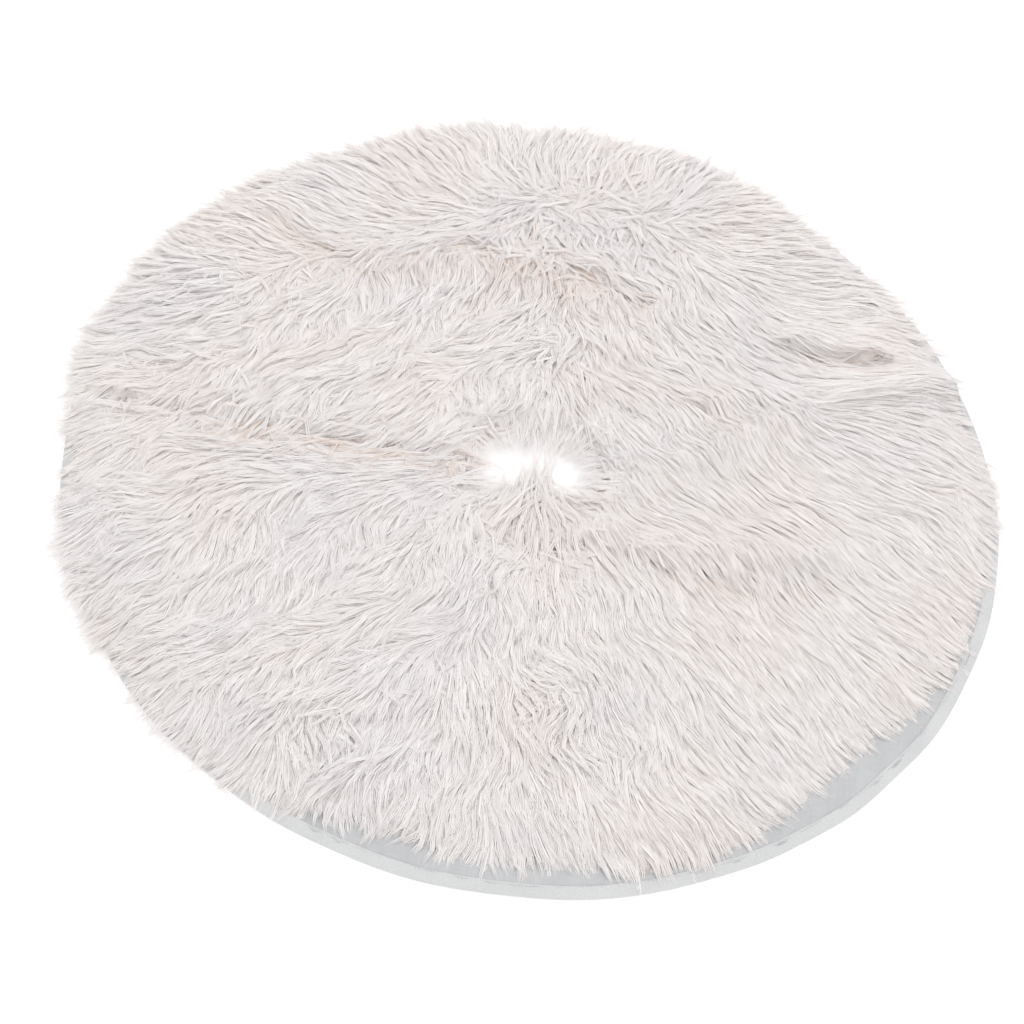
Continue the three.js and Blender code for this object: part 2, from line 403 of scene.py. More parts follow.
def add_attribute(piece, name, values):
    attribute = piece.data.attributes.new(name, "FLOAT", "POINT")
    attribute.data.foreach_set("value", values.astype(np.float32))


NO_TRIANGLES = np.zeros((0, 3), np.int32)


def shell(name, top, thickness, material):
    """A closed sheet from a grid of points (rows, columns, 3) on its upper face. Its thickness is
    one number or a grid of them."""
    rows, columns, _ = top.shape
    bottom = top.copy()
    bottom[:, :, 2] -= thickness
    points = np.concatenate([top.reshape(-1, 3), bottom.reshape(-1, 3)])
    index = np.arange(rows * columns).reshape(rows, columns)
    upper = np.stack([index[:-1, :-1], index[1:, :-1], index[1:, 1:], index[:-1, 1:]], -1)
    upper = upper.reshape(-1, 4)
    lower = upper[:, ::-1] + rows * columns
    rim = np.concatenate([index[0], index[1:, -1], index[-1, -2::-1], index[-2:0:-1, 0]])
    after = np.roll(rim, -1)
    wall = np.stack([rim, after, after + rows * columns, rim + rows * columns], -1)
    return mesh_object(name, points, np.concatenate([upper, lower, wall]), NO_TRIANGLES, material)


def swept(name, sections, material):
    """A closed tube through sections of shape (stations, section points, 3)."""
    stations, count, _ = sections.shape
    index = np.arange(stations * count).reshape(stations, count)
    here, there = index[:-1], index[1:]
    quads = np.stack([here, np.roll(here, -1, 1), np.roll(there, -1, 1), there], -1).reshape(-1, 4)
    fans = []
    for ring in (index[0][::-1], index[-1]):
        fans += [(ring[0], ring[i], ring[i + 1]) for i in range(1, count - 1)]
    return mesh_object(name, sections.reshape(-1, 3), quads, np.array(fans, np.int32), material)


def unit(vectors):
    return vectors / np.maximum(np.linalg.norm(vectors, axis=-1, keepdims=True), 1e-9)


THREAD_SIDES = 3


def threads(name, paths, radii, material, side=None, flatness=1.0, ribbon=False):
    """Closed three-sided threads along paths (threads, steps, 3). The last step is the point. A
    ribbon's lower edges are sharp, so that its upper side is shaded as one rounded face."""
    count, steps, _ = paths.shape
    radii = np.broadcast_to(radii, (count, steps))
    tangents = unit(np.gradient(paths, axis=1))
    across = unit(np.cross(tangents, UP)) if side is None else np.broadcast_to(side, tangents.shape)
    over = np.cross(across, tangents)
    corners = []
    for number in range(THREAD_SIDES):
        angle = math.pi / 2 + number * FULL_TURN / THREAD_SIDES
        reach = math.cos(angle) * across + flatness * math.sin(angle) * over
        corners.append(paths + reach * radii[..., None])
    rings = np.stack(corners, 2)[:, :-1]
    points = np.concatenate([rings.reshape(count, -1, 3), paths[:, -1:]], 1)
    each = points.shape[1]
    base = (np.arange(count) * each)[:, None, None]
    ring = np.arange((steps - 1) * THREAD_SIDES).reshape(-1, THREAD_SIDES)
    here, there = ring[:-1], ring[1:]
    quads = np.stack([here, there, np.roll(there, -1, 1), np.roll(here, -1, 1)], -1).reshape(1, -1, 4)
    last = ring[-1]
    tip = each - 1
    ends = [(here, tip, there) for here, there in zip(last, np.roll(last, -1))] + [tuple(ring[0])]
    triangles = np.array(ends)[None]
    piece = mesh_object(
        name,
        points.reshape(-1, 3),
        (quads + base).reshape(-1, 4),
        (triangles + base).reshape(-1, 3),
        material,
    )
    if ribbon:
        ends_at = np.zeros(2 * len(piece.data.edges), np.int32)
        piece.data.edges.foreach_get("vertices", ends_at)
        at = ends_at.reshape(-1, 2) % each
        corner = at % THREAD_SIDES
        lower = (corner > 0) | (at == tip)
        lengthwise = (corner[:, 0] == corner[:, 1]) | (at == tip).any(1)
        capping = (at < THREAD_SIDES).all(1)
        sharp = piece.data.attributes.new("sharp_edge", "BOOLEAN", "EDGE")
        sharp.data.foreach_set("value", (lower.all(1) & lengthwise) | capping)
    return piece


# ---- Materials ----


class Painter:
    """A Principled material with a few calls for joining nodes."""

    def __init__(self, name, roughness, specular, sheen=0.0):
        self.material = bpy.data.materials.new(name)
        self.material.use_nodes = True
        self.tree = self.material.node_tree
        self.shader = self.tree.nodes["Principled BSDF"]
        self.shader.inputs["Roughness"].default_value = roughness
        self.shader.inputs["Specular IOR Level"].default_value = specular
        self.shader.inputs["Sheen Weight"].default_value = sheen

    def node(self, kind, **values):
        made = self.tree.nodes.new(kind)
        for name, value in values.items():
            if hasattr(made, name):
                setattr(made, name, value)
            else:
                made.inputs[name.replace("_", " ")].default_value = value
        return made

    def join(self, out, into):
        self.tree.links.new(out, into)

    def place(self):
        return self.node("ShaderNodeTexCoord").outputs["Object"]

    def attribute(self, name):
        return self.node("ShaderNodeAttribute", attribute_name=name).outputs["Fac"]

    def ramp(self, factor, *stops):
        """Colours over a factor, from (position, colour) stops."""
        made = self.node("ShaderNodeValToRGB")
        elements = made.color_ramp.elements
        while len(elements) < len(stops):
            elements.new(0.5)
        for element, (position, colour) in zip(elements, stops):
            element.position = position
            element.color = (*colour, 1)
        self.join(factor, made.inputs["Fac"])
        return made.outputs["Color"]

    def noise(self, scale, detail=3.0, stretch=None):
        made = self.node("ShaderNodeTexNoise", Scale=scale, Detail=detail)
        source = self.place()
        if stretch:
            mapping = self.node("ShaderNodeMapping", Scale=stretch)
            self.join(source, mapping.inputs["Vector"])
            source = mapping.outputs["Vector"]
        self.join(source, made.inputs["Vector"])
        return made.outputs["Fac"]

    def bands(self, scale, direction, distortion=0.0):
        made = self.node("ShaderNodeTexWave", bands_direction=direction, Scale=scale)
        made.inputs["Distortion"].default_value = distortion
        self.join(self.place(), made.inputs["Vector"])
        return made.outputs["Fac"]

    def reckoned(self, operation, a, b):
        made = self.node("ShaderNodeMath", operation=operation)
        self.join(a, made.inputs[0])
        self.join(b, made.inputs[1])
        return made.outputs[0]

    def colour(self, product, *others):
        """The base colour, as the product of some colours."""
        for other in others:
            made = self.node("ShaderNodeMix", data_type="RGBA", blend_type="MULTIPLY", Factor=1.0)
            self.join(product, made.inputs[6])
            self.join(other, made.inputs[7])
            product = made.outputs[2]
        self.join(product, self.shader.inputs["Base Color"])

    def bump(self, height, distance, strength=1.0):
        made = self.node("ShaderNodeBump", Strength=strength, Distance=distance)
        self.join(height, made.inputs["Height"])
        self.join(made.outputs["Normal"], self.shader.inputs["Normal"])


WHITE = (1, 1, 1)


def pile_material():
    """White pile: painted warm shade at the roots, ivory along the hairs, paler and cooler at the tips.
    """
    paint = Painter("pile", 0.62, 0.2)
    # Painted shade: the roots are darker and warmer, for the shade deep down in the pile.
    along = paint.ramp(
        paint.attribute("along"),
        (0.0, (0.965, 0.915, 0.89)),
        (0.3, (0.98, 0.948, 0.94)),
        (0.6, (0.985, 0.955, 0.947)),
        (1.0, (0.985, 0.96, 0.953)),
    )
    tint = paint.ramp(
        paint.attribute("tint"), (0.0, (0.98, 0.975, 0.97)), (0.5, (0.99, 0.988, 0.986)), (1.0, WHITE)
    )
    # Painted shade: the pile turns tan where it parts and beside the slit, for the shade and warm
    # bounced light there.
    parting_shade = paint.ramp(paint.attribute("parting_shade"), (0.0, WHITE), (1.0, (0.94, 0.84, 0.77)))
    patches = paint.ramp(
        paint.noise(7.0, 2.0),
        (0.35, (0.985, 0.985, 0.99)),
        (0.5, (1.0, 0.997, 0.993)),
        (0.66, (1.0, 0.985, 0.972)),
    )
    paint.colour(along, tint, parting_shade, patches)
    return paint.material


def undercoat_material():
    """The dense lower pile, with painted shade: darker than the locks over it, ivory where it is thick
    and tan where it thins to its roots.
    """
    paint = Painter("undercoat", 0.8, 0.15, sheen=0.1)
    # Painted shade: the lower pile is darker than the locks over it, and darker and more tan the
    # thinner it is.
    roots, middle, top = (0.72, 0.60, 0.53), (0.84, 0.79, 0.76), (0.90, 0.87, 0.855)
    depth = paint.ramp(paint.attribute("depth"), (0.1, roots), (0.5, middle), (0.8, top))
    fibres = paint.noise(700.0)
    paint.colour(depth, paint.ramp(fibres, (0.3, (0.95, 0.94, 0.935)), (0.7, WHITE)))
    paint.bump(fibres, 0.0012, 0.8)
    return paint.material


def crossing(paint, scale, narrowed):
    """Fine threads that cross."""
    lengthwise = paint.noise(scale, 2.0, (1.0, narrowed, 1.0))
    crosswise = paint.noise(scale, 2.0, (narrowed, 1.0, 1.0))
    return paint.reckoned("MULTIPLY", lengthwise, crosswise)


def backing_material():
    """The knitted ground that the pile stands in, a warm tan."""
    paint = Painter("backing", 0.9, 0.2)
    knit = crossing(paint, 900.0, 0.1)
    cloth = paint.ramp(knit, (0.1, (0.72, 0.58, 0.49)), (1.0, (0.86, 0.76, 0.69)))
    paint.colour(cloth, paint.ramp(paint.noise(30.0), (0.3, (0.93, 0.91, 0.9)), (0.7, WHITE)))
    paint.bump(knit, 0.0005)
    return paint.material


def lining_material():
    """A smooth woven lining, a pale cool grey, with fine crossing threads and soft creases."""
    paint = Painter("lining", 0.46, 0.35, sheen=0.1)
    weave = crossing(paint, 1300.0, 0.05)
    cloth = paint.ramp(weave, (0.1, (0.56, 0.567, 0.573)), (0.4, (0.66, 0.664, 0.668)))
    thick_threads = paint.noise(60.0, 4.0, (1.0, 0.12, 1.0))
    slubs = paint.ramp(thick_threads, (0.35, (0.94, 0.94, 0.95)), (0.65, WHITE))
    patches = paint.ramp(paint.noise(5.0, 2.0), (0.35, (0.95, 0.95, 0.96)), (0.65, WHITE))
    paint.colour(cloth, slubs, patches)
    paint.bump(paint.reckoned("ADD", weave, paint.noise(38.0, 5.0)), 0.0004, 0.6)
    return paint.material


def binding_material():
    """Folded lining cloth, a little paler than the lining."""
    paint = Painter("binding", 0.55, 0.3, sheen=0.1)
    grain = paint.noise(900.0)
    cloth = paint.ramp(grain, (0.3, (0.66, 0.664, 0.668)), (0.7, (0.76, 0.763, 0.766)))
    paint.colour(cloth, paint.ramp(paint.noise(25.0), (0.3, (0.93, 0.93, 0.935)), (0.7, WHITE)))
    paint.bump(grain, 0.0003, 0.6)
    return paint.material


def thread_material():
    paint = Painter("thread", 0.5, 0.4)
    # Painted shade: darker diagonal stripes stand for the shaded grooves of the twist.
    twist_shade = paint.bands(1500.0, "DIAGONAL", 1.0)
    paint.colour(paint.ramp(twist_shade, (0.0, (0.72, 0.72, 0.73)), (1.0, (0.88, 0.88, 0.88))))
    return paint.material


def tape_material():
    """Cream woven tape with crosswise ribs."""
    paint = Painter("tape", 0.8, 0.25, sheen=0.1)
    ribs = paint.bands(330.0, "X", 0.4)
    cloth = paint.ramp(ribs, (0.0, (0.70, 0.67, 0.61)), (1.0, (0.83, 0.80, 0.75)))
    grain = paint.noise(1300.0, 2.0)
    paint.colour(cloth, paint.ramp(grain, (0.3, (0.92, 0.92, 0.91)), (0.7, WHITE)))
    paint.bump(ribs, 0.0002, 0.7)
    return paint.material


def clouded_material(name, roughness, specular, sheen, scale, dark, light):
    paint = Painter(name, roughness, specular, sheen)
    paint.colour(paint.ramp(paint.noise(scale), (0.3, dark), (0.7, light)))
    return paint.material


PILE = pile_material()
UNDERCOAT = undercoat_material()
BACKING = backing_material()
LINING = lining_material()
BINDING = binding_material()
THREAD = thread_material()
TAPE = tape_material()
LOOP_COLOURS = (0.72, 0.71, 0.69), (0.87, 0.86, 0.85)
HOOK_COLOURS = (0.80, 0.80, 0.79), (0.90, 0.90, 0.89)
LOOP_PILE = clouded_material("loop_pile", 0.85, 0.2, 0.2, 1600.0, *LOOP_COLOURS)
HOOK_NYLON = clouded_material("hook_nylon", 0.38, 0.5, 0.0, 240.0, *HOOK_COLOURS)


# ---- The three stretches of cloth ----

# Angles in degrees that each stretch runs between, and the body at its slit side.
STRETCHES = {
    "main": {"angles": (-SIDE_ANGLE, SIDE_ANGLE), "flap": None},
    "near": {"angles": (-180, -SIDE_ANGLE), "flap": "flap_near"},
    "far": {"angles": (SIDE_ANGLE, 180), "flap": "flap_far"},
}


def attach(piece, stretch):
    """A main piece rides on the skirt. A near or far one keeps its place, with its transform applied.
    """
    flap = STRETCHES[stretch]["flap"]
    if flap is None:
        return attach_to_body(piece, "skirt")
    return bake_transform(piece)


def settle(piece, place, node=None):
    """Hides the node that a piece stands for, if one is given, and puts the piece in its place: a
    stretch or a body.
    """
    if node:
        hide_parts(node)
    return attach(piece, place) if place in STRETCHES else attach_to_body(piece, place)


def span_of(stretch):
    first, last = STRETCHES[stretch]["angles"]
    return math.radians(last - first)


def angles_at(radius, stretch, slit_edge, steps):
    """Angles across a stretch at a radius. At the slit they stop at its edge."""
    first, last = (math.radians(a) for a in STRETCHES[stretch]["angles"])
    at_slit = math.asin(slit_edge / radius)
    if stretch == "near":
        first += at_slit
    if stretch == "far":
        last -= at_slit
    return np.linspace(first, last, steps)


def polar_grid(stretch, inner, outer_at, slit_edge, step):
    """Grids of x and y over one stretch, from the hole to an outer radius that may vary."""
    columns = int(span_of(stretch) * HEM_RADIUS / step)
    rows = int((HEM_RADIUS - inner) / step)
    xs = []
    ys = []
    for share in np.linspace(0, 1, rows):
        rough = inner + share * (HEM_RADIUS - inner)
        angle = angles_at(rough, stretch, slit_edge, columns)
        radius = inner + share * (outer_at(angle) - inner)
        xs.append(radius * np.cos(angle))
        ys.append(radius * np.sin(angle))
    return np.array(xs), np.array(ys)


def backing_edge(angle):
    return pile_edge(angle) + 1


def lining_edge(_):
    return LINING_RADIUS + 1


def make_backing(stretch):
    """The ground of the fur fabric."""
    x, y = polar_grid(stretch, HOLE_RADIUS + 1, backing_edge, SLIT_EDGE + 0.6, GRID_STEP)
    top = points_of(x, y, backing_top(x, y))
    piece = shell(f"fur_backing_{stretch}", top, BACKING_THICKNESS, BACKING)
    return settle(piece, stretch, f"fur_{stretch}")


def make_undercoat(stretch):
    """The dense lower pile as one soft layer on the backing."""
    x, y = polar_grid(stretch, HOLE_RADIUS + 0.5, pile_edge, SLIT_EDGE + 0.4, COAT_STEP)
    thickness = undercoat(x, y)
    top = points_of(x, y, backing_top(x, y) + 0.03 + thickness)
    piece = shell(f"undercoat_{stretch}", top, thickness, UNDERCOAT)
    # The depth sets the undercoat's painted shade.
    add_attribute(piece, "depth", np.tile((thickness / UNDERCOAT_HEIGHT).ravel(), 2))
    return settle(piece, stretch)


def make_lining(stretch):
    inner = HOLE_BINDING_RADIUS - 2
    x, y = polar_grid(stretch, inner, lining_edge, SLIT_BINDING_EDGE - 1, GRID_STEP)
    height = LINING_BOTTOM + LINING_THICKNESS + 0.96 * cloth_rise(x, y)
    piece = shell(f"lining_sheet_{stretch}", points_of(x, y, height), LINING_THICKNESS, LINING)
    return settle(piece, stretch, f"lining_{stretch}")


# ---- Hem, bindings and their stitching ----

PUCKER = Ripple(31, 23)
HEM_WAVE = Ripple(33, 120)


def rounded_band(inner, outer, low, high, tilt, corner, corner_steps=4):
    """A flat band's section as (radius, height) points round it, its outer side lowered by tilt."""
    section = []
    for cx, cz, start in (
        (outer - corner, low + corner, -90),
        (outer - corner, high - tilt - corner, 0),
        (inner + corner, high - corner, 90),
        (inner + corner, low + corner, 180),
    ):
        for turn in np.linspace(start, start + 90, corner_steps):
            angle = math.radians(turn)
            section.append((cx + corner * math.cos(angle), cz + corner * math.sin(angle)))
    return np.array(section)


def band_stations(stretch, radius, step):
    return int(span_of(stretch) * radius / step)


def round_band(name, node, stretch, section, pucker):
    """Sweeps a band's section about the skirt's middle, with puckers where the stitching pulls it."""
    middle = section[:, 0].mean()
    angles = angles_at(middle, stretch, SLIT_EDGE, band_stations(stretch, middle, 3))
    sections = []
    for angle in angles:
        px, py = middle * math.cos(angle), middle * math.sin(angle)
        radius = section[:, 0] + 0.5 * HEM_WAVE.at(px, py)
        z = section[:, 1] * (1 + pucker * PUCKER.at(px, py))
        sections.append(points_of(radius * math.cos(angle), radius * math.sin(angle), z))
    return settle(swept(name, np.array(sections[::-1]), BINDING), stretch, node)


STITCH_PITCH = 3.4
STITCH_HALF = 0.42  # of the pitch
STITCH_BEND = 0.6  # of its half length, past which a stitch dips


def stitch_row(name, points_at, height, dip, girth, bend=STITCH_BEND):
    """Stitches, each a thread that dips into the cloth at both ends. points_at gives the x and y of
    every stitch at a place along it, from -1 to 1."""
    paths = []
    for share, depth in ((-1, dip), (-bend, 0), (bend, 0), (1, dip)):
        x, y = points_at(share)
        paths.append(points_of(x, y, height - depth))
    return threads(name, np.stack(paths, 1), girth, THREAD)


def round_stitches(name, stretch, radius, height, upwards):
    """A row of stitches round the skirt."""
    stations = band_stations(stretch, radius, STITCH_PITCH)
    angles = angles_at(radius, stretch, SLIT_EDGE + 4, stations)
    half = STITCH_HALF * STITCH_PITCH / radius

    def points_at(share):
        turned = angles + share * half
        return radius * np.cos(turned), radius * np.sin(turned)

    row = stitch_row(name, points_at, height, 0.35 * upwards, [0.16, 0.3, 0.3, 0.1])
    return settle(row, stretch)


HEM_INNER = LINING_RADIUS - 3
HEM_BAND_TOP = 5.6
HEM_BAND_TILT = 2.2


def make_hem(stretch):
    section = rounded_band(HEM_INNER, HEM_RADIUS - 0.6, 0.4, HEM_BAND_TOP, HEM_BAND_TILT, 1.3)
    stitched = HEM_INNER + 2
    return [
        round_band(f"hem_band_{stretch}", f"hem_{stretch}", stretch, section, 0.05),
        round_stitches(f"hem_stitches_top_{stretch}", stretch, stitched, HEM_BAND_TOP, 1),
        round_stitches(f"hem_stitches_under_{stretch}", stretch, stitched, 0.45, -1),
    ]


def make_hole_binding(stretch):
    section = rounded_band(HOLE_RADIUS, HOLE_BINDING_RADIUS, 0.6, HEM_TOP - 0.5, 0, 1.8)
    stitched = HOLE_BINDING_RADIUS - 1.6
    return [
        round_band(f"hole_band_{stretch}", f"hole_binding_{stretch}", stretch, section, 0.03),
        round_stitches(f"hole_stitches_{stretch}", stretch, stitched, 0.75, -1),
    ]


def make_slit_binding(side_name, side):
    """The folded strip along one side of the slit, with its row of stitches underneath."""
    start, end = SLIT_BINDING_ENDS
    section = rounded_band(SLIT_EDGE, SLIT_BINDING_EDGE, SLIT_BINDING_BOTTOM, SLIT_BINDING_TOP, 0, 1.4)
    y, lift = side * section[:, 0], section[:, 1] - SLIT_BINDING_BOTTOM
    sections = []
    for x in np.linspace(start, end, int((end - start) / 4)):
        z = SLIT_BINDING_BOTTOM + lift * (0.94 + 0.03 * PUCKER.at(x, 0.0))
        sections.append(points_of(x, y, z))
    strip = swept(f"slit_band_{side_name}", np.array(sections[::side]), BINDING)
    settle(strip, f"flap_{side_name}", f"slit_binding_{side_name}")
    xs = np.arange(start + STITCH_PITCH, end - STITCH_PITCH, STITCH_PITCH)

    def points_at(share):
        return xs + share * STITCH_HALF * STITCH_PITCH, side * (SLIT_BINDING_EDGE - 1.8)

    girth = [0.16, 0.28, 0.28, 0.1]
    row = stitch_row(f"slit_stitches_{side_name}", points_at, SLIT_BINDING_BOTTOM, -0.3, girth)
    settle(row, f"flap_{side_name}")


# ---- Closures ----


def flat_grid(low, high, step):
    """Grids of x and y over a box's top."""
    columns = max(3, int((high.x - low.x) / step))
    rows = max(3, int((high.y - low.y) / step))
    return np.meshgrid(np.linspace(low.x, high.x, columns), np.linspace(high.y, low.y, rows))


TAPE_STATIONS = 14
ROOT_THICKNESS = 0.3
TAB_THICKNESS = 0.6


def tape_strip(name, low, high, middle, thickness):
    """A strip of tape from low to high x, whose middle line seen along the slit is (y, z) points."""
    middle = np.array(middle)
    along = unit(np.gradient(middle, axis=0))
    off = np.stack([-along[:, 1], along[:, 0]], -1) * thickness / 2
    outline = np.concatenate([middle - off, (middle + off)[::-1]])
    stations = np.linspace(low, high, TAPE_STATIONS)
    sections = np.stack([np.insert(outline, 0, x, axis=1) for x in stations])
    return swept(name, sections, TAPE)


def make_tab_root(place):
    """The end of the tape that is sewn under the slit binding and runs down to the fold."""
    low, high = box_mm(f"tab_{place}")
    sewn = (SLIT_BINDING_BOTTOM + high.z) / 2
    middle = [(-7.0, sewn), (-3.0, sewn), (-1.1, sewn), (-0.3, sewn - 0.4), (0.0, sewn - 0.9)]
    middle.append((0.0, TAB_FOLD_HEIGHT - 0.2))
    root = tape_strip(f"tab_root_{place}", low.x, high.x, middle, ROOT_THICKNESS)
    settle(root, "flap_near")


def make_tab_fold(place):
    """The short stretch of tape between the fold and the tab."""
    low, high = box_mm(f"tab_{place}")
    level = (low.z + high.z) / 2
    middle = [(high.y - 0.6, level), (-0.7, level), (-0.25, level - 0.2), (0.05, TAB_FOLD_HEIGHT)]
    fold = tape_strip(f"tab_fold_{place}", low.x, high.x, middle, TAB_THICKNESS)
    return settle(fold, f"tab_{place}")


def make_tab(place):
    """A woven tab with crosswise ribs."""
    node = f"tab_{place}"
    low, high = box_mm(node)
    rib_pitch = 1.9
    rib_depth = 0.07
    x, y = flat_grid(low, high, 0.5)
    ribs = rib_depth * np.cos(x / rib_pitch * FULL_TURN)
    top = points_of(x, y, high.z - rib_depth + ribs)
    tab = shell(f"tab_tape_{place}", top, high.z - low.z - rib_depth, TAPE)
    return settle(tab, node, node)


def patch_base(kind, place, thickness, material, body):
    """A patch's flat base, the box that it lies at the top of, and the height of its underside."""
    node = f"{kind}_patch_{place}"
    low, high = box_mm(node)
    x, y = flat_grid(low, high, 1.0)
    top = points_of(x, y, high.z)
    base = shell(f"{kind}_base_{place}", top, thickness, material)
    return settle(base, body, node), low, high, high.z - thickness


def hook_paths(low, high, base):
    """J-shaped hooks that stand down from a patch, in rows that curl opposite ways."""
    pitch = 1.15
    tall = base - low.z
    xs = np.arange(low.x + pitch, high.x - pitch / 2, pitch)
    ys = np.arange(low.y + pitch, high.y - pitch / 2, pitch)
    shape = [(0.0, 0.0), (0.0, -0.6), (0.12, -0.92), (0.34, -0.96), (0.46, -0.7)]
    paths = []
    for row, y in enumerate(ys):
        curl = 1 if row % 2 else -1
        for x in xs:
            paths.append([(x + curl * u * tall * 1.4, y, base + v * tall) for u, v in shape])
    return np.array(paths)


def make_hook_patch(place):
    body = f"tab_{place}"
    base, low, high, bottom = patch_base("hook", place, 0.35, HOOK_NYLON, body)
    paths = hook_paths(low, high, bottom + 0.05)
    girth = [0.17, 0.14, 0.12, 0.1, 0.08]
    hooks = threads(f"hooks_{place}", paths, girth, HOOK_NYLON, side=np.array([0.0, 1.0, 0.0]))
    settle(hooks, body)
    stitches = patch_stitches(f"hook_stitches_{place}", low, high, bottom)
    return [base, hooks, settle(stitches, body)]


def patch_stitches(name, low, high, height):
    """A boxed row of stitches just inside a patch's edge, on its underside."""
    inset = 0.7
    pitch = 2.0
    left, right = low.x + inset, high.x - inset
    front, back = low.y + inset, high.y - inset
    corners = np.array([(left, front), (right, front), (right, back), (left, back), (left, front)])
    middles = []
    ways = []
    for start, end in zip(corners, corners[1:]):
        span = np.linalg.norm(end - start)
        along = (end - start) / span
        for at in np.arange(pitch / 2, span, pitch):
            middles.append(start + along * at)
            ways.append(along)
    middles, ways = np.array(middles), np.array(ways)

    def points_at(share):
        return (middles + ways * share * 0.4 * pitch).T

    return stitch_row(name, points_at, height, -0.12, [0.1, 0.16, 0.16, 0.06], bend=0.5)


LOOPS = 900
LOOP_REACH = 0.55


def make_loop_patch(place, rng):
    """A patch of fine loops that faces down."""
    _, low, high, bottom = patch_base("loop", place, 0.3, LOOP_PILE, "flap_far")
    root = bottom + 0.03
    tall = root - low.z - 0.1
    x = rng.uniform(low.x + 1.2, high.x - 1.2, LOOPS)
    y = rng.uniform(low.y + 1.2, high.y - 1.2, LOOPS)
    lean = rng.uniform(0, FULL_TURN, LOOPS)
    paths = []
    for turn in np.linspace(0, math.pi, 5):
        out = LOOP_REACH * math.cos(turn)
        height = root - tall * math.sin(turn)
        paths.append(points_of(x + out * np.cos(lean), y + out * np.sin(lean), height))
    girth = [0.09, 0.09, 0.09, 0.09, 0.05]
    side = points_of(-np.sin(lean), np.cos(lean), 0)[:, None]
    loops = threads(f"loops_{place}", np.stack(paths, 1), girth, LOOP_PILE, side=side)
    settle(loops, "flap_far")
    stitches = patch_stitches(f"loop_stitches_{place}", low, high, bottom)
    settle(stitches, "flap_far")


# ---- The pile ----


def calmed(x, amount):
    """1 at the left, less an amount at the right, where the pile is combed smoother."""
    return 1 - amount * smooth((x - 40) / 140)


def flow(x, y):
    """The way that the pile lies at a point, as a vector: combed towards -Y and spreading to the
    sides, outwards at the rim and most of all at the back, with whirls, and away from partings."""
    radius = np.hypot(x, y)
    ox, oy = x / radius, y / radius
    right, left = (most * np.tanh(x / width) for most, width in (SPREAD_RIGHT, SPREAD_LEFT))
    turn = SWIRL * FLOW_SWIRL.at(x, y) + EDDY * FLOW_EDDY.at(x, y) + TUFT * TUFT_TURN.at(x, y)
    bearing = np.radians(np.where(x > 0, right, left) - 90 + calmed(x, 0.5) * turn)
    at_back = (1.7 - 0.5 * ox) * np.maximum(oy, 0) * smooth((radius - 300) / 90)
    at_rim = 0.8 * smooth((radius - 400) / 40)
    outwards = 0.2 + at_back + at_rim
    dx = np.cos(bearing) + outwards * ox
    dy = np.sin(bearing) + outwards * oy
    for start, end, half_width, strength in COMBED:
        distance = off_segment(x, y, start, end)[2]
        share = strength * bell(distance, half_width)
        along = unit(np.subtract(end, start).astype(float))
        dx = dx + share * (along[0] - dx)
        dy = dy + share * (along[1] - dy)
    for start, end, half_width, strength in PARTINGS:
        px, py, distance = off_segment(x, y, start, end)
        push = strength * bell(distance, half_width) / np.maximum(distance, 1)
        dx = dx + push * px
        dy = dy + push * py
    for (cx, cy), reach, strength in WHIRLS:
        px, py = x - cx, y - cy
        distance = np.hypot(px, py)
        push = strength * bell(distance, reach) / np.maximum(distance, 12)
        dx = dx - push * py
        dy = dy + push * px
    return dx, dy


def lock_roots(rng):
    """Jittered points over the whole skirt where locks grow."""
    reach = HEM_RADIUS + LOCK_SPACING
    rows = np.arange(-reach, reach, LOCK_SPACING * math.sqrt(3) / 2)
    columns = np.arange(-reach, reach, LOCK_SPACING)
    x, y = np.meshgrid(columns, rows)
    x[1::2] += LOCK_SPACING / 2
    x, y = (grid.ravel() + rng.uniform(-0.45, 0.45, grid.size) * LOCK_SPACING for grid in (x, y))
    radius, angle = polar(x, y)
    kept = (radius > HOLE_RADIUS + OFF_HOLE) & (radius < pile_edge(angle) - 1)
    kept &= (x > 0) | (np.abs(y) > SLIT_EDGE + OFF_SLIT)
    return x[kept], y[kept]


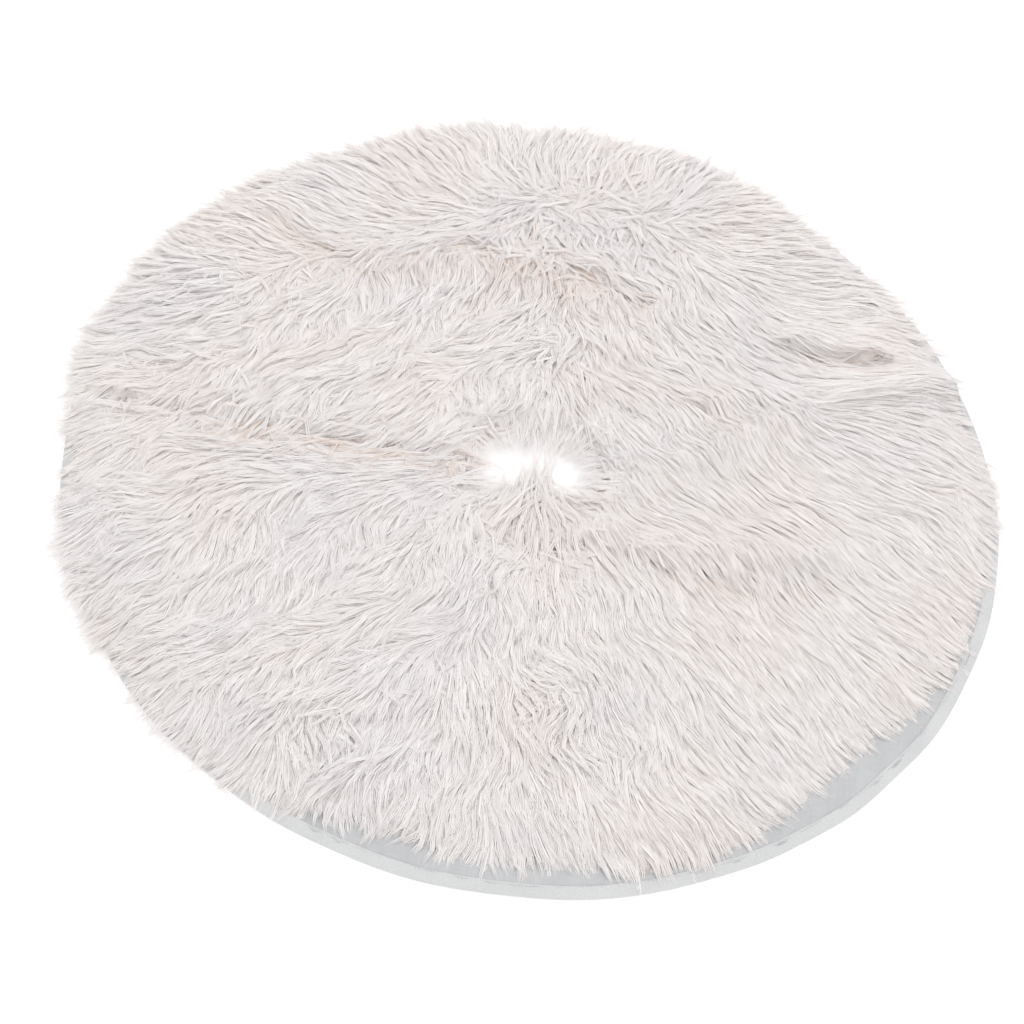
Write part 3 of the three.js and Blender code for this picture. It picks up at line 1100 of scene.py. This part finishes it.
def lock_paths(x, y, rng, filling=False):
    """The middle line of each lock, which rises from the cloth and lies over along the flow. Locks
    that fill a thin place lie this way and that."""
    count = len(x)
    radius, angle = polar(x, y)
    messy = messiness(x, y)
    on_top = rng.random(count) < LONG_SHARE
    if filling:
        on_top[:] = False
    length = np.where(on_top, LONG_LENGTH, LOCK_LENGTH) * rng.uniform(0.8, 1.12, count)
    near_hole = smooth((HOLE_RADIUS + 50 - radius) / 48)
    across_hole = 0.25 + 0.75 * np.sin(angle) ** 2
    inwards = rng.random(count) < near_hole * across_hole
    in_front = 0.5 - 0.5 * np.sin(angle)
    stray = 1 + 0.4 * RIM_TUFTS.at(x, y) + 0.5 * (rng.random(count) < 0.06)
    over_hole = stray * (rng.uniform(16, 36, count) + 34 * in_front) * (0.4 + 0.6 * across_hole)
    length = np.where(inwards, over_hole, length)
    wisps = rng.uniform(0, 16, count) * (rng.random(count) < 0.25) * smooth(-y / 300)
    ragged = 8 * RIM_TUFTS.at(x, y) + rng.uniform(-14, 6, count) + wisps
    room = tip_radius(angle) + ragged - radius
    length = np.minimum(length, np.maximum(room, LEAST_LENGTH))
    dx, dy = flow(x, y)
    unsure = 0.8 * np.ones(count) if filling else 1 - smooth(np.hypot(dx, dy) / 0.9)
    heading = np.where(inwards, angle + math.pi, np.arctan2(dy, dx))
    calm = calmed(x, 0.4)
    scatter = calm * (SCATTER["combed"] + SCATTER["messy"] * messy) + SCATTER["unsure"] * unsure
    scatter = np.where(inwards, SCATTER["over the hole"], scatter)
    jitter = np.radians(scatter) * rng.normal(0, 1, count)
    own_curl = (CURL["combed"] + CURL["messy"] * messy) * rng.normal(0, 1, count)
    curl = np.radians(CURL["waves"] * LOCK_CURL.at(x, y) + own_curl) * calm
    at_back_rim = smooth((radius - 330) / 80) * smooth(y / 300)
    standing = MORE_RISE["messy"] * messy + MORE_RISE["unsure"] * unsure
    standing = standing + MORE_RISE["at the back rim"] * at_back_rim
    flat = rng.uniform(*RISE, count) + MORE_RISE["on top"] * on_top
    rise = flat + standing * rng.random(count)
    over = rng.uniform(*RISE_OVER_HOLE, count) + MORE_RISE["before the hole"] * in_front
    rise = np.radians(np.where(inwards, over, rise))
    droop = np.radians(rng.normal(*DROOP, count))
    px, py, height = x.copy(), y.copy(), np.full(count, -ROOT_DEPTH)
    z = ground(px, py) + height
    paths = [points_of(px, py, z)]
    for before, after in zip(STRAND_STEPS, STRAND_STEPS[1:]):
        middle = (before + after) / 2
        fx, fy = flow(px, py)
        turn = (np.arctan2(fy, fx) - heading + math.pi) % FULL_TURN - math.pi
        follow = np.where(inwards, 0, FOLLOWING * (1 - unsure))
        bearing = heading + follow * turn + jitter + curl * (middle - 0.3)
        tilt = rise * (1 - middle) - droop * middle
        run = length * (after - before)
        px = px + run * np.cos(tilt) * np.cos(bearing)
        py = py + run * np.cos(tilt) * np.sin(bearing)
        height = height + run * np.sin(tilt)
        hanging = z - run * math.sin(math.radians(STEEPEST_FALL))
        z = np.maximum(np.maximum(ground(px, py) + height, hanging), LEAST_HEIGHT)
        paths.append(points_of(px, py, z))
    return np.stack(paths, 1), np.where(on_top, LONG_GIRTH, 1.0)


def thin_places(locks):
    """Points on the skirt that few locks lie over."""
    cells = int(2 * HEM_RADIUS / THIN_CELL)
    edges = np.linspace(-HEM_RADIUS, HEM_RADIUS, cells + 1)
    laid = np.zeros((cells, cells))
    for share in np.linspace(0.1, 0.9, 9):
        place = share * (locks.shape[1] - 1)
        before = int(place)
        at = locks[:, before] + (place - before) * (locks[:, before + 1] - locks[:, before])
        laid += np.histogram2d(at[:, 0], at[:, 1], bins=(edges, edges))[0]
    middles = (edges[1:] + edges[:-1]) / 2
    x, y = np.meshgrid(middles, middles, indexing="ij")
    radius, angle = polar(x, y)
    inside = (radius > HOLE_RADIUS + 4) & (radius < pile_edge(angle) - 4)
    inside &= (x > 0) | (np.abs(y) > SLIT_EDGE + 1)
    along_slit = smooth((16 - np.abs(y)) / 12) * (x < 0)
    thin = inside & (laid < THIN_SHARE * (1 + along_slit) * np.median(laid[inside]))
    return np.repeat(x[thin], FILL_LOCKS), np.repeat(y[thin], FILL_LOCKS)


def make_pile():
    """The pile as locks of tapering strands, in one piece for each sector of the skirt."""
    rng = np.random.default_rng(PILE_SEED)
    x, y = lock_roots(rng)
    locks, girth = lock_paths(x, y, rng)
    thin_x, thin_y = thin_places(locks)
    thin_x = thin_x + rng.uniform(-0.7, 0.7, thin_x.size) * THIN_CELL
    thin_y = thin_y + rng.uniform(-0.7, 0.7, thin_y.size) * THIN_CELL
    off_slit = np.copysign(SLIT_EDGE + OFF_SLIT, thin_y)
    too_near = (thin_x < 0) & (np.abs(thin_y) < SLIT_EDGE + OFF_SLIT)
    thin_y = np.where(too_near, off_slit, thin_y)
    filling, filling_girth = lock_paths(thin_x, thin_y, rng, filling=True)
    x, y = np.append(x, thin_x), np.append(y, thin_y)
    locks, girth = np.concatenate([locks, filling]), np.append(girth, filling_girth)
    angle = np.degrees(np.arctan2(y, x))
    count = len(x)
    looks = {
        "girth": girth,
        "shade": rng.random(count),
        # Painted shade, strongest in the partings and along the slit.
        "parting_shade": np.clip(parted(x, y) + beside_slit(x, y), 0, 1),
        "spread": rng.uniform(-1, 1, (count, STRANDS_IN_LOCK, 2)),
        "slip": rng.uniform(0, 1, (count, STRANDS_IN_LOCK)),
    }
    made = {stretch: [] for stretch in STRETCHES}
    for stretch, facts in STRETCHES.items():
        for number, start in enumerate(range(*facts["angles"], PILE_SECTOR), 1):
            here = (angle >= start) & (angle < start + PILE_SECTOR)
            chosen = {name: values[here] for name, values in looks.items()}
            piece = sector_of_pile(f"pile_{stretch}_{number}", locks[here], **chosen)
            made[stretch].append(attach(piece, stretch))
    return made


def sector_of_pile(name, locks, girth, shade, parting_shade, spread, slip):
    """The strands of some locks. In a lock they start apart, bow out a little and meet at the point."""
    tangents = unit(np.gradient(locks, axis=1))
    across = unit(np.cross(tangents, UP))
    over = np.cross(across, tangents)
    strands = []
    radii = []
    for k in range(STRANDS_IN_LOCK):
        lane = k - (STRANDS_IN_LOCK - 1) / 2
        sideways = (lane + 0.5 * spread[:, k, :1]) * STRAND_PITCH * LOCK_FAN
        upwards = 0.3 * spread[:, k, 1:] - 0.06 * lane**2
        strand = locks + across * sideways[..., None] + over * (upwards * LOCK_FAN)[..., None]
        reach = 1 - 0.35 * slip[:, k]
        strand[:, -1] = strand[:, -2] + (strand[:, -1] - strand[:, -2]) * reach[:, None]
        strand[:, :, 2] = np.maximum(strand[:, :, 2], 0.7)
        strands.append(strand)
        thickness = girth * (0.85 + 0.3 * slip[:, k])
        radii.append(np.append(STRAND_RADII, 0.0) * thickness[:, None])
    paths = np.concatenate(strands)
    piece = threads(name, paths, np.concatenate(radii), PILE, flatness=STRAND_FLATNESS, ribbon=True)
    along = np.append(np.repeat(STRAND_STEPS[:-1], THREAD_SIDES), 1.0)
    add_attribute(piece, "along", np.tile(along, len(paths)))
    tint = np.concatenate([0.4 * shade + 0.6 * slip[:, k] for k in range(STRANDS_IN_LOCK)])
    add_attribute(piece, "tint", np.repeat(tint, len(along)))
    # The painted shade fades to half towards the tips.
    warm = np.outer(np.tile(parting_shade, STRANDS_IN_LOCK), 1 - 0.5 * along)
    add_attribute(piece, "parting_shade", warm.ravel())
    return piece


# ---- Camera, floor and light ----


def make_camera():
    """Looks down on the skirt from the front, rolled a little."""
    elevation = math.radians(53.47)
    roll = math.radians(9.66)
    distance = 2.503
    aim = Vector((-0.017, -0.040, 0))
    away = Vector((0, -math.cos(elevation), math.sin(elevation)))
    right = Vector((1, 0, 0))
    upright = away.cross(right)
    rolled_right = right * math.cos(roll) + upright * math.sin(roll)
    rolled_up = upright * math.cos(roll) - right * math.sin(roll)
    data = bpy.data.cameras.new("camera")
    data.lens = 94.8
    data.sensor_width = 36
    camera = add_object("camera", data)
    axes = Matrix((rolled_right, rolled_up, away)).transposed()
    camera.matrix_world = Matrix.Translation(aim + away * distance) @ axes.to_4x4()
    bpy.context.scene.camera = camera


def make_floor():
    bpy.ops.mesh.primitive_plane_add(size=30)
    floor = bpy.context.object
    floor.name = "floor"
    paint = Painter("floor", 0.9, 0.1)
    paint.shader.inputs["Base Color"].default_value = (0.94, 0.94, 0.94, 1)
    paint.shader.inputs["Emission Color"].default_value = (1, 1, 1, 1)
    paint.shader.inputs["Emission Strength"].default_value = 0.25
    floor.data.materials.append(paint.material)


def make_light(name, place, size, watts):
    """A white disk of light that faces the skirt's middle."""
    data = bpy.data.lights.new(name, "AREA")
    data.shape = "DISK"
    data.size = size
    data.energy = watts
    lamp = add_object(name, data)
    lamp.location = place
    lamp.rotation_euler = (-Vector(place)).to_track_quat("-Z", "Y").to_euler()


def make_studio():
    world = bpy.data.worlds.new("studio")
    world.use_nodes = True
    sky = world.node_tree.nodes["Background"]
    sky.inputs["Color"].default_value = (1, 1, 1, 1)
    sky.inputs["Strength"].default_value = 0.925
    bpy.context.scene.world = world
    bpy.context.scene.view_settings.view_transform = "Standard"
    make_light("key", (-0.5, 1.8, 2.4), 1.0, 10.5)
    make_light("fill", (1.6, -1.6, 2.2), 2.0, 7)


# ---- Putting it together ----


def make_skirt():
    backing, lining, hems, hole_bindings = (
        {stretch: make(stretch) for stretch in STRETCHES}
        for make in (make_backing, make_lining, make_hem, make_hole_binding)
    )
    pile = make_pile()
    coats = {stretch: [make_undercoat(stretch)] + pile[stretch] for stretch in STRETCHES}
    for side_name, side in (("near", -1), ("far", 1)):
        make_slit_binding(side_name, side)
    rng = np.random.default_rng(4)
    for place in ("inner", "middle", "outer"):
        tab = make_tab(place)
        make_tab_root(place)
        patch = make_hook_patch(place) + [make_tab_fold(place)]
        make_loop_patch(place, rng)


make_camera()
make_floor()
make_studio()
make_skirt()
